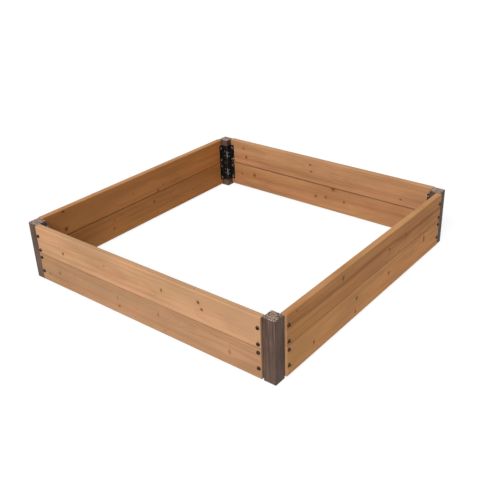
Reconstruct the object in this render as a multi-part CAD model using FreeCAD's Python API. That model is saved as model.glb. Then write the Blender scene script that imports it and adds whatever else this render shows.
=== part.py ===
"""Raised garden bed: four walls of stacked boards bolted to folded brackets round corner posts.

Millimetres, +Z up. The origin is the centre of the bed, on the plane that it stands on.
The front wall is on the -Y side and the right wall is on the +X side.

Every corner is drawn in a frame of its own, where x = 0 and y = 0 are the outer faces of
the two walls that meet there and the inside of the bed is towards +x and +y. The wall that
starts at a corner runs along that corner's x axis.
"""
import FreeCAD, Part
import math
import os

# Bed
BED_WIDTH = 914.0            # outer face of the left wall to outer face of the right wall
BED_DEPTH = 914.0            # outer face of the front wall to outer face of the back wall

# Boards
BOARD_HEIGHT = 89.0
BOARD_THICKNESS = 19.0
BOARD_EDGE_RADIUS = 3.0      # long edges
BOARD_END_RADIUS = 1.5       # edges round each sawn end
BOARD_END_GAP = 1.0          # board end to post

# Corner posts
POST_SIDE = 37.0
POST_RECESS = 5.5            # post face behind the boards' outer face
POST_FOOT = 5.0              # post below the lower boards
POST_END_CHAMFER = 0.8

# Folded corner brackets
PLATE = 2.0
FOLD_RADIUS = 1.5            # inside of each fold
FOLD_EASE = 0.5              # post edge rounder than the fold that wraps it
BRACKET_GAP = 4.0            # between the two brackets of a corner, centred on the seam
BRACKET_MARGIN = 21.0        # bracket to the board's other long edge
WING_MARGIN = 1.5            # nut to the wing's upright edge
WING_CORNER_RADIUS = 3.0
BEAD_LENGTH = 30.0           # stiffening bead pressed along the fold on the post's edge
BEAD_RADIUS = 2.5
BEAD_RISE = 1.0              # bead proud of the fold

# Bolts through the boards
BOLT_DIAMETER = 6.0
BOLT_HEAD_DIAMETER = 10.5
BOLT_HEAD_HEIGHT = 3.3
BOLT_HEAD_RIM = 0.7          # upright rim below the head's dome
BOLT_HEAD_FLAT = 5.8         # flat on top of the dome
BOLT_TIP = 4.0               # bolt past its nut
BOLT_TIP_CHAMFER = 0.7
BOLT_FROM_BRACKET_END = 10.0 # bolt axis to the bracket's top or bottom
BOLT_HOLE_CLEARANCE = 0.3    # radial, in boards and brackets
SOCKET_ACROSS = 4.0
SOCKET_DEPTH = 2.0

# Nuts
NUT_ACROSS = 10.0
NUT_HEIGHT = 5.0
NUT_THREAD_CLEARANCE = 0.05  # radial
NUT_FACE_SHARE = 0.95        # bearing face, as a share of the width across flats
NUT_TO_FOLD = 0.5

# Screws through the brackets into the posts
SCREW_DIAMETER = 3.5
SCREW_LENGTH = 16.0
SCREW_POINT = 3.0
SCREW_HEAD_DIAMETER = 5.5
SCREW_HEAD_HEIGHT = 1.9
SCREW_HEAD_RIM = 0.5
SCREW_HEAD_FLAT = 2.6
SCREW_SPACING = 15.0         # between the two screws in one face of the post
SCREW_STAGGER = 4.5          # height between the screws of one face and of the other
SCREW_FROM_EDGE = 8.5        # screw axis to the post's inner edge
SCREW_HOLE_CLEARANCE = 0.25  # radial, in the bracket
PILOT_CLEARANCE = 0.05       # radial, in the post
CROSS_LENGTH = 3.0
CROSS_WIDTH = 0.8
CROSS_DEPTH = 1.1

# Derived
POST_INNER = POST_RECESS + POST_SIDE
POST_EDGE_RADIUS = FOLD_RADIUS + FOLD_EASE
POST_HEIGHT = POST_FOOT + 2 * BOARD_HEIGHT
BRACKET_HEIGHT = BOARD_HEIGHT - BRACKET_GAP / 2 - BRACKET_MARGIN
BRACKET_FACE = POST_INNER + PLATE
WING_FACE = BOARD_THICKNESS + PLATE
BOLT_X = BRACKET_FACE + FOLD_RADIUS + NUT_TO_FOLD + NUT_ACROSS / 2
WING_EDGE = BOLT_X + NUT_ACROSS / 2 + WING_MARGIN
BOLT_LENGTH = WING_FACE + NUT_HEIGHT + BOLT_TIP
SCREW_X = POST_INNER - SCREW_FROM_EDGE

OVERSHOOT = 1.0              # how far a cutting tool runs past the face that it cuts
TOLERANCE = 0.1              # extent or distance that counts as none when edges are picked
OUT_OF_BED = 90              # turns about x that lay a fastener across the first wall
INTO_BED = -90

UP = FreeCAD.Vector(0, 0, 1)
ALONG_X = FreeCAD.Vector(1, 0, 0)
ALONG_Y = FreeCAD.Vector(0, 1, 0)

# Corner name, the wall that starts there, the corner's place and its quarter turns
CORNERS = [
    ("front_left", "front", -1, -1, 0),
    ("front_right", "right", 1, -1, 1),
    ("back_right", "back", 1, 1, 2),
    ("back_left", "left", -1, 1, 3),
]

# Row name and the heights of its boards' and its brackets' lower ends
SEAM = POST_FOOT + BOARD_HEIGHT
ROWS = [
    ("lower", POST_FOOT, SEAM - BRACKET_GAP / 2 - BRACKET_HEIGHT),
    ("upper", SEAM, SEAM + BRACKET_GAP / 2),
]


def point(x, y, z=0.0):
    return FreeCAD.Vector(x, y, z)


def rod(radius, length, start, direction):
    return Part.makeCylinder(radius, length, start, direction)


def turned(outline):
    """Solid of revolution about Z from edges that close on the axis."""
    face = Part.Face(Part.Wire(outline))
    return face.revolve(point(0, 0), UP, 360)


def lines(points):
    return [Part.LineSegment(a, b).toShape() for a, b in zip(points, points[1:])]


def rounded_outline(points, radii):
    """Closed wire through points in the XY plane, each corner rounded by its radius."""
    count = len(points)
    edges = []
    leave = []
    for i, corner in enumerate(points):
        before = (points[i - 1] - corner).normalize()
        after = (points[(i + 1) % count] - corner).normalize()
        radius = radii[i]
        if radius == 0:
            leave.append((corner, corner))
            continue
        half = before.getAngle(after) / 2
        cut = radius / math.tan(half)
        middle = (before + after).normalize()
        centre = corner + middle * (radius / math.sin(half))
        start = corner + before * cut
        end = corner + after * cut
        edges.append(Part.Arc(start, centre - middle * radius, end).toShape())
        leave.append((start, end))
    for i in range(count):
        edges.append(Part.LineSegment(leave[i][1], leave[(i + 1) % count][0]).toShape())
    return Part.Wire(Part.__sortEdges__(edges))


def placed(shape, corner):
    """Move a shape from its corner's frame into the bed's frame."""
    name, wall, side_x, side_y, turns = corner
    moved = shape.copy()
    moved.rotate(point(0, 0), UP, 90 * turns)
    moved.translate(point(side_x * BED_WIDTH / 2, side_y * BED_DEPTH / 2))
    return moved


def on_second_wall(shape):
    """Mirror a shape from the corner's first wall to its second one, across x = y."""
    return shape.mirror(point(0, 0), point(1, -1))


def bolt_heights(bracket_base):
    return [
        bracket_base + BOLT_FROM_BRACKET_END,
        bracket_base + BRACKET_HEIGHT - BOLT_FROM_BRACKET_END,
    ]


def all_bolt_heights():
    return [z for row, board_base, bracket_base in ROWS for z in bolt_heights(bracket_base)]


def screw_heights(bracket_base, wall_sign):
    """Heights of one bracket's screws in one face: wall_sign is 1 or -1 for the stagger."""
    middle = bracket_base + BRACKET_HEIGHT / 2 + wall_sign * SCREW_STAGGER / 2
    return [middle - SCREW_SPACING / 2, middle + SCREW_SPACING / 2]


def screw_places():
    """Each screw's height and whether it goes into the post's second inner face."""
    places = []
    for row, board_base, bracket_base in ROWS:
        places += [(z, False) for z in screw_heights(bracket_base, 1)]
        places += [(z, True) for z in screw_heights(bracket_base, -1)]
    return places


def edges_within(shape, direction, extent=TOLERANCE):
    """Edges that reach no further than an extent along a direction."""
    def reach(edge):
        box = edge.BoundBox
        return direction.dot(point(box.XLength, box.YLength, box.ZLength))
    return [e for e in shape.Edges if reach(e) < extent]


def board(length, base, holes):
    """Board of a wall that is length long outside, from post to post, with its bolt holes."""
    start = POST_INNER + BOARD_END_GAP
    end = length - start
    block = Part.makeBox(end - start, BOARD_THICKNESS, BOARD_HEIGHT, point(start, 0, base))
    long_edges = [e for e in block.Edges if e.BoundBox.XLength > BOARD_HEIGHT]
    block = block.makeFillet(BOARD_EDGE_RADIUS, long_edges)
    block = block.makeFillet(BOARD_END_RADIUS, edges_within(block, ALONG_X))
    hole_radius = BOLT_DIAMETER / 2 + BOLT_HOLE_CLEARANCE
    for x in (BOLT_X, length - BOLT_X):
        for z in holes:
            drill = rod(hole_radius, BOARD_THICKNESS + 2 * OVERSHOOT, point(x, -OVERSHOOT, z), ALONG_Y)
            block = block.cut(drill)
    return block


def post():
    """Square post with rounded upright edges and a pilot hole for each screw."""
    block = Part.makeBox(POST_SIDE, POST_SIDE, POST_HEIGHT, point(POST_RECESS, POST_RECESS))
    upright = [e for e in block.Edges if e.BoundBox.ZLength > POST_SIDE]
    block = block.makeFillet(POST_EDGE_RADIUS, upright)
    block = block.makeChamfer(POST_END_CHAMFER, edges_within(block, UP))
    depth = SCREW_LENGTH - PLATE + PILOT_CLEARANCE
    for z, second in screw_places():
        pilot = rod(SCREW_DIAMETER / 2 + PILOT_CLEARANCE, depth + OVERSHOOT,
                    point(POST_INNER - depth, SCREW_X, z), ALONG_X)
        block = block.cut(on_second_wall(pilot) if second else pilot)
    return block


def bead(base):
    """Half-round bead on the fold that wraps the post's edge, with domed ends."""
    fold_centre = POST_INNER - FOLD_RADIUS
    along_diagonal = FOLD_RADIUS + PLATE + BEAD_RISE - BEAD_RADIUS
    place = fold_centre + along_diagonal * math.cos(math.pi / 4)
    low = point(place, place, base + (BRACKET_HEIGHT - BEAD_LENGTH) / 2 + BEAD_RADIUS)
    run = BEAD_LENGTH - 2 * BEAD_RADIUS
    shape = rod(BEAD_RADIUS, run, low, UP)
    shape = shape.fuse(Part.makeSphere(BEAD_RADIUS, low))
    shape = shape.fuse(Part.makeSphere(BEAD_RADIUS, low + UP * run))
    core = Part.makeBox(POST_INNER, POST_INNER, BRACKET_HEIGHT, point(0, 0, base))
    edge = [e for e in core.Edges
            if e.BoundBox.XMin > POST_INNER / 2 and e.BoundBox.YMin > POST_INNER / 2
            and e.BoundBox.ZLength > BRACKET_HEIGHT / 2]
    return shape.cut(core.makeFillet(FOLD_RADIUS, edge))


def bracket(base):
    """One plate folded four times: wing, web, post edge, web, wing."""
    back = [
        point(WING_EDGE, BOARD_THICKNESS),
        point(POST_INNER, BOARD_THICKNESS),
        point(POST_INNER, POST_INNER),
        point(BOARD_THICKNESS, POST_INNER),
        point(BOARD_THICKNESS, WING_EDGE),
    ]
    front = [
        point(WING_FACE, WING_EDGE),
        point(WING_FACE, BRACKET_FACE),
        point(BRACKET_FACE, BRACKET_FACE),
        point(BRACKET_FACE, WING_FACE),
        point(WING_EDGE, WING_FACE),
    ]
    tight = FOLD_RADIUS
    wide = FOLD_RADIUS + PLATE
    radii = [0, wide, tight, wide, 0, 0, tight, wide, tight, 0]
    plate = Part.Face(rounded_outline(back + front, radii)).extrude(point(0, 0, BRACKET_HEIGHT))
    plate.translate(point(0, 0, base))
    corners = [e for e in edges_within(plate, UP)
               if max(e.BoundBox.XMin, e.BoundBox.YMin) > WING_EDGE - TOLERANCE]
    plate = plate.makeFillet(WING_CORNER_RADIUS, corners)
    plate = plate.fuse(bead(base)).removeSplitter()
    bolt_radius = BOLT_DIAMETER / 2 + BOLT_HOLE_CLEARANCE
    for z in bolt_heights(base):
        drill = rod(bolt_radius, PLATE + 2 * OVERSHOOT,
                    point(BOLT_X, BOARD_THICKNESS - OVERSHOOT, z), ALONG_Y)
        plate = plate.cut(drill).cut(on_second_wall(drill))
    screw_radius = SCREW_DIAMETER / 2 + SCREW_HOLE_CLEARANCE
    for z in screw_heights(base, 1):
        plate = plate.cut(web_drill(screw_radius, z))
    for z in screw_heights(base, -1):
        plate = plate.cut(on_second_wall(web_drill(screw_radius, z)))
    return plate


def web_drill(radius, z):
    return rod(radius, PLATE + 2 * OVERSHOOT, point(POST_INNER - OVERSHOOT, SCREW_X, z), ALONG_X)


def domed_head(radius, height, rim, flat):
    """Head that stands on z = 0 and is domed upwards."""
    top = flat / 2
    bend = point(top + (radius - top) * math.cos(math.pi / 4), 0,
                 rim + (height - rim) * math.sin(math.pi / 4))
    sides = lines([point(0, 0), point(radius, 0), point(radius, 0, rim)])
    dome = Part.Arc(point(radius, 0, rim), bend, point(top, 0, height)).toShape()
    close = lines([point(top, 0, height), point(0, 0, height), point(0, 0)])
    return turned(sides + [dome] + close)


def hexagon(across, height, base):
    """Six-sided prism with two of its flats square to x."""
    reach = across / math.sqrt(3)
    corners = [point(reach * math.sin(i * math.pi / 3), reach * math.cos(i * math.pi / 3), base)
               for i in range(6)]
    return Part.Face(Part.makePolygon(corners + corners[:1])).extrude(point(0, 0, height))


def bolt():
    """Bolt with its head on z = 0 and its shank along -Z."""
    head = domed_head(BOLT_HEAD_DIAMETER / 2, BOLT_HEAD_HEIGHT, BOLT_HEAD_RIM, BOLT_HEAD_FLAT)
    socket = hexagon(SOCKET_ACROSS, SOCKET_DEPTH + OVERSHOOT, BOLT_HEAD_HEIGHT - SOCKET_DEPTH)
    radius = BOLT_DIAMETER / 2
    shank = turned(lines([
        point(0, 0),
        point(radius, 0),
        point(radius, 0, BOLT_TIP_CHAMFER - BOLT_LENGTH),
        point(radius - BOLT_TIP_CHAMFER, 0, -BOLT_LENGTH),
        point(0, 0, -BOLT_LENGTH),
        point(0, 0),
    ]))
    return head.cut(socket).fuse(shank).removeSplitter()


def nut():
    """Hexagon nut on z = 0, bevelled on both faces."""
    face = NUT_ACROSS / 2 * NUT_FACE_SHARE
    reach = NUT_ACROSS / math.sqrt(3)
    bevel = (reach - face) * math.tan(math.pi / 6)
    envelope = turned(lines([
        point(0, 0),
        point(face, 0),
        point(reach, 0, bevel),
        point(reach, 0, NUT_HEIGHT - bevel),
        point(face, 0, NUT_HEIGHT),
        point(0, 0, NUT_HEIGHT),
        point(0, 0),
    ]))
    thread = rod(BOLT_DIAMETER / 2 + NUT_THREAD_CLEARANCE, NUT_HEIGHT + 2 * OVERSHOOT,
                 point(0, 0, -OVERSHOOT), UP)
    return hexagon(NUT_ACROSS, NUT_HEIGHT, 0).common(envelope).cut(thread)


def screw():
    """Cross-headed screw with its head on z = 0 and its point along -Z."""
    head = domed_head(SCREW_HEAD_DIAMETER / 2, SCREW_HEAD_HEIGHT, SCREW_HEAD_RIM, SCREW_HEAD_FLAT)
    arm = Part.makeBox(CROSS_LENGTH, CROSS_WIDTH, CROSS_DEPTH + OVERSHOOT,
                       point(-CROSS_LENGTH / 2, -CROSS_WIDTH / 2, SCREW_HEAD_HEIGHT - CROSS_DEPTH))
    other = arm.copy()
    other.rotate(point(0, 0), UP, 90)
    radius = SCREW_DIAMETER / 2
    shank = turned(lines([
        point(0, 0),
        point(radius, 0),
        point(radius, 0, SCREW_POINT - SCREW_LENGTH),
        point(0, 0, -SCREW_LENGTH),
        point(0, 0),
    ]))
    return head.cut(arm).cut(other).fuse(shank).removeSplitter()


def across_wall(shape, turn, x, z, depth):
    """Turn a fastener drawn along Z to lie across the first wall, with its z = 0 at y = depth."""
    moved = shape.copy()
    moved.rotate(point(0, 0), ALONG_X, turn)
    moved.translate(point(x, depth, z))
    return moved


def corner_bolts():
    one = bolt()
    first = [across_wall(one, OUT_OF_BED, BOLT_X, z, 0) for z in all_bolt_heights()]
    return first + [on_second_wall(b) for b in first]


def corner_nuts():
    one = nut()
    first = [across_wall(one, INTO_BED, BOLT_X, z, WING_FACE) for z in all_bolt_heights()]
    return first + [on_second_wall(n) for n in first]


def corner_screws():
    one = screw()
    screws = []
    for z, second in screw_places():
        turned_in = across_wall(one, INTO_BED, SCREW_X, z, BRACKET_FACE)
        screws.append(turned_in if second else on_second_wall(turned_in))
    return screws


def write(name, shape, corner):
    placed(shape, corner).exportStep(os.path.join("parts", name + ".step"))


def main():
    os.makedirs("parts", exist_ok=True)
    the_post = post()
    brackets = {row: bracket(bracket_base) for row, board_base, bracket_base in ROWS}
    fasteners = {
        "bolts": Part.makeCompound(corner_bolts()),
        "nuts": Part.makeCompound(corner_nuts()),
        "screws": Part.makeCompound(corner_screws()),
    }
    for corner in CORNERS:
        name, wall = corner[:2]
        length = BED_WIDTH if wall in ("front", "back") else BED_DEPTH
        for row, board_base, bracket_base in ROWS:
            wall_board = board(length, board_base, bolt_heights(bracket_base))
            write(wall + "_" + row + "_board", wall_board, corner)
            write(name + "_" + row + "_bracket", brackets[row], corner)
        write(name + "_post", the_post, corner)
        for kind, group in fasteners.items():
            write(name + "_" + kind, group, corner)


main()
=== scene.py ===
"""Raised garden bed: the fine shape and the finish of every piece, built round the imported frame.

Metres throughout. Each piece is drawn in a frame of its own and takes its place and size from
the CAD node that it stands for.
"""

import math
import random

import bmesh
import bpy
import numpy as np
from mathutils import Matrix, Vector


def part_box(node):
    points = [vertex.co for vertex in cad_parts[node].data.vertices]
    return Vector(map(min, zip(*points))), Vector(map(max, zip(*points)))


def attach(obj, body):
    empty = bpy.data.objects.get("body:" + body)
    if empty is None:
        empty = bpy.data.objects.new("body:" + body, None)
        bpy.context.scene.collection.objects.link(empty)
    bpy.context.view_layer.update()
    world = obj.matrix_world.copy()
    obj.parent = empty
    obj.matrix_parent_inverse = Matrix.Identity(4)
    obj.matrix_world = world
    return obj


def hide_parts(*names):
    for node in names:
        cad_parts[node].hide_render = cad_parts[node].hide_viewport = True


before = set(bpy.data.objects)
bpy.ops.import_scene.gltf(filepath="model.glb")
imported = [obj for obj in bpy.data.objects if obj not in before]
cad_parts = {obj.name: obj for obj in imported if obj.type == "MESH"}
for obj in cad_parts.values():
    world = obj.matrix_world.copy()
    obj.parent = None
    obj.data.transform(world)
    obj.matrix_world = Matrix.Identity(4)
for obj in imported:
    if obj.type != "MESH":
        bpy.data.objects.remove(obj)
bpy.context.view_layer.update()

# The camera stands where the photograph was taken from
CAMERA_PLACE = (1.2593, -1.5217, 1.0940)
CAMERA_AZIMUTH = 37.80       # degrees round the bed, 0 looks along +Y
CAMERA_ELEVATION = 27.80
CAMERA_ROLL = -1.43
CAMERA_LENS = 52.94          # mm on a 36 mm wide sensor
CAMERA_SENSOR = 36.0
CAMERA_SHIFT = -0.0464       # of the frame's width

# Light
SUN_FROM = (0.15, -0.80, 0.75)
SUN_STRENGTH = 2.35
SUN_SPREAD = 22              # degrees
ROOM_LIGHT = 0.35
FLOOR_ALBEDO = 0.60
FLOOR_SHADE = 0.18           # share of the floor's white that shadows take away
FLOOR_GLOW = 0.87
FLOOR_REACH = 15
FLOOR_LEVEL = -0.0005        # just under the posts

# Boards
BOARD_EDGE_RADIUS = 0.003
BOARD_END_RADIUS = 0.0015
SECTION_STEP = 0.0012        # between points across the grain
STATION_STEP = 0.004         # between points along the grain
KNOT_STATION_STEP = 0.001
KNOT_STATION_REACH = 3       # knot radii
CLOSEST_STATIONS = 0.8 * KNOT_STATION_STEP
END_STATIONS = 5             # round a board's end
BOARD_EDGE_POINTS = 3        # round half of a long edge
GRAIN_RELIEF = 0.00012       # late wood stands this far above early wood
KNOT_RELIEF = 0.0003
KNOT_GROOVE = (1.05, 0.25)   # middle and width of the hollow round a knot, in knot radii
HEART_DRIFT = ((0.006, 0.9), (0.012, 0.7))      # through and across the board
RADIUS_DRIFT = (0.0006, 0.11)                   # a drift is a size and a wavelength
RING_CROWDING = ((0.5, 0.0062), (0.3, 0.0147))  # rings, and the radius over which they crowd
FIBRE_STRETCH = 0.42         # fibres part this much more gently along the board than across it
FIBRE_REACH = 1.25           # knot radii
PATTERN_SHIFT = 3.0          # between boards, so that no two share a pattern
FACING = 0.7                 # part of a unit normal that counts as facing that way
TOP_FACING = 0.9             # the same for a top face
BAND_SPAN = 0.827            # bands are given by their heights at a board's two ends
BAND_DRIFT = (0.003, 0.5)
SEAM_SHADE_REACH = 0.0036          # painted shade reaches this far up and down from the joint of two boards
FAR_FROM_KNOTS = 6.0         # knot radii
TOP_HIGHLIGHT_AND_WEAR = 0.8               # painted highlight and wear of a top face, as a share of its edges'
SEAM_SHADE_TINT = (0.40, 0.30, 0.20)     # painted shade in the joint of two boards, as a tint of late wood
DASH_TINT = (0.45, 0.45, 0.45)       # of late wood
HALO_TINT = (0.78, 0.66, 0.50)       # of the wood round a knot
MOTTLE_TINTS = ((0.86, 0.86, 0.86), (1.10, 1.10, 1.10))
FLUSH_TINTS = ((0.99, 1.01, 0.985), (1.02, 0.985, 1.01))
# Painted highlight, partly wear, on the edges and face away from a board's joint
HIGHLIT_WORN_WOOD = (0.620, 0.370, 0.190)
END_GRAIN = (0.440, 0.275, 0.178)
KNOT_DARK = (0.190, 0.060, 0.008)
KNOT_LIGHT = (0.300, 0.115, 0.022)
KNOT_BARK = (0.085, 0.024, 0.003)

# Posts
POST_EDGE_RADIUS = 0.002
POST_END_CHAMFER = 0.0008
POST_STEP = 0.0005           # between points across a face
POST_STATION_STEP = 0.008
POST_EDGE_POINTS = 5
GROOVE_DEPTH = 0.0003
CHIP_DEPTH = 0.0004
GROOVES = (0.0011, 0.0075, 9)        # shortest and longest wavelength, and number of waves
CHIPS = (0.0013, 0.0060, 8)
GROOVE_DRIFT = (0.6, 0.25)           # in radians
RELIEF_CONTRAST = 1.3
POST_SEED = 100
# From dark to pale
COMPOSITE = ((0.056, 0.030, 0.021), (0.126, 0.072, 0.051), (0.228, 0.144, 0.106))
DARK_STREAK = (0.060, 0.032, 0.023)
PALE_STREAK = (0.240, 0.158, 0.120)
FLOUR = (0.250, 0.162, 0.120)
FOOT_TONE = (0.124, 0.075, 0.057)    # a post is evener near its foot
# From dark to pale, on a sawn end
SPECKS = ((0.042, 0.026, 0.019), (0.205, 0.137, 0.103), (0.400, 0.285, 0.222), (0.640, 0.485, 0.395))

# Brackets
PLATE = 0.002
FOLD_RADIUS = 0.0025         # of the plate's middle surface
FOLD_STEPS = 14
PLATE_STEP = 0.001
PLATE_EDGE_BEVEL = 0.0003
PLATE_EDGE_ANGLE = math.radians(50)
WING_CORNER_RADIUS = 0.003
BEAD_LENGTH = 0.030
BEAD_HALF_WIDTH = 0.0026
BEAD_RISE = 0.001
COAT = ((0.0050, 0.0046, 0.0042), (0.013, 0.012, 0.010))     # clean and dusty
# Painted highlight along the crest of the bracket's bead
BEAD_HIGHLIGHT = (0.330, 0.325, 0.310)

# Fasteners
FASTENER_SEED = 200
LATHE_COLUMNS = 36
THREAD_STEPS = 4             # sections of one turn
THREAD_SIDES = (1.25, 0.12)  # slope and start of a thread's sides, between flat crests and roots
DOME_STEPS = 9
RIM_EASE = 0.0002
BOLT_HOLE_RADIUS = 0.0033
BOLT_RADIUS = 0.003
BOLT_HEAD_RADIUS = 0.00525
BOLT_HEAD_HEIGHT = 0.0033
BOLT_HEAD_RIM = 0.0007
BOLT_HEAD_FLAT = 0.0029
BOLT_LENGTH = 0.030
BOLT_THREAD = 0.014          # threaded length
BOLT_PITCH = 0.001
THREAD_DEPTH = 0.00055
BOLT_TIP = 0.0009            # the tip is this much thinner
SOCKET_ACROSS = 0.004
SOCKET_DEPTH = 0.002
SOCKET_EASE = 0.0004
NUT_ACROSS = 0.010
NUT_HEIGHT = 0.005
NUT_FACE_RADIUS = 0.00475
NUT_BEVEL = math.pi / 6
NUT_BEVEL_STEPS = 5
NUT_BORE_GAP = 0.00005
NUT_BORE_EASE = 0.0005
SCREW_HOLE_RADIUS = 0.002
PILOT_RADIUS = 0.0018
SCREW_RADIUS = 0.00175
SCREW_LENGTH = 0.016
SCREW_POINT = 0.003
SCREW_PITCH = 0.0014
SCREW_THREAD_DEPTH = 0.0005
SCREW_THREAD_END = 0.002     # under the head
SCREW_NECK = 0.0015
SCREW_HEAD_RADIUS = 0.00275
SCREW_HEAD_HEIGHT = 0.0019
SCREW_HEAD_RIM = 0.0005
SCREW_HEAD_FLAT = 0.0013
CROSS_LENGTH = 0.0030
CROSS_WIDTH = 0.0008
CROSS_DEPTH = 0.0011
CROSS_EASE = 0.00005
CROSS_LENGTHS = (0.8, 0.6)   # shares of its length at the mouth and at the bottom
CROSS_BOTTOM_WIDTH = 0.8
# Each kind: whether its longest side is its axis, whether it faces out, and its head's height
FASTENERS = {
    "bolts": (True, True, BOLT_HEAD_HEIGHT),
    "nuts": (False, False, NUT_HEIGHT),
    "screws": (True, False, SCREW_HEAD_HEIGHT),
}
METALS = {                   # dark, light and roughness
    "black_bolts": ((0.028, 0.017, 0.010), (0.078, 0.050, 0.032), 0.36),
    "zinc_nuts": ((0.220, 0.216, 0.208), (0.500, 0.495, 0.480), 0.20),
    "dull_screws": ((0.095, 0.093, 0.088), (0.230, 0.226, 0.216), 0.32),
}

WELD = 0.00001               # points nearer than this are one point
TINY = 1e-9                  # keeps a division from failing
SHARP = math.radians(32)     # edges sharper than this aren't shaded smooth

WALLS = {"front": 0, "right": 1, "back": 2, "left": 3}      # quarter turns from the front
CORNERS = {"front_left": 0, "front_right": 1, "back_right": 2, "back_left": 3}
ROWS = ("lower", "upper")

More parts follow.
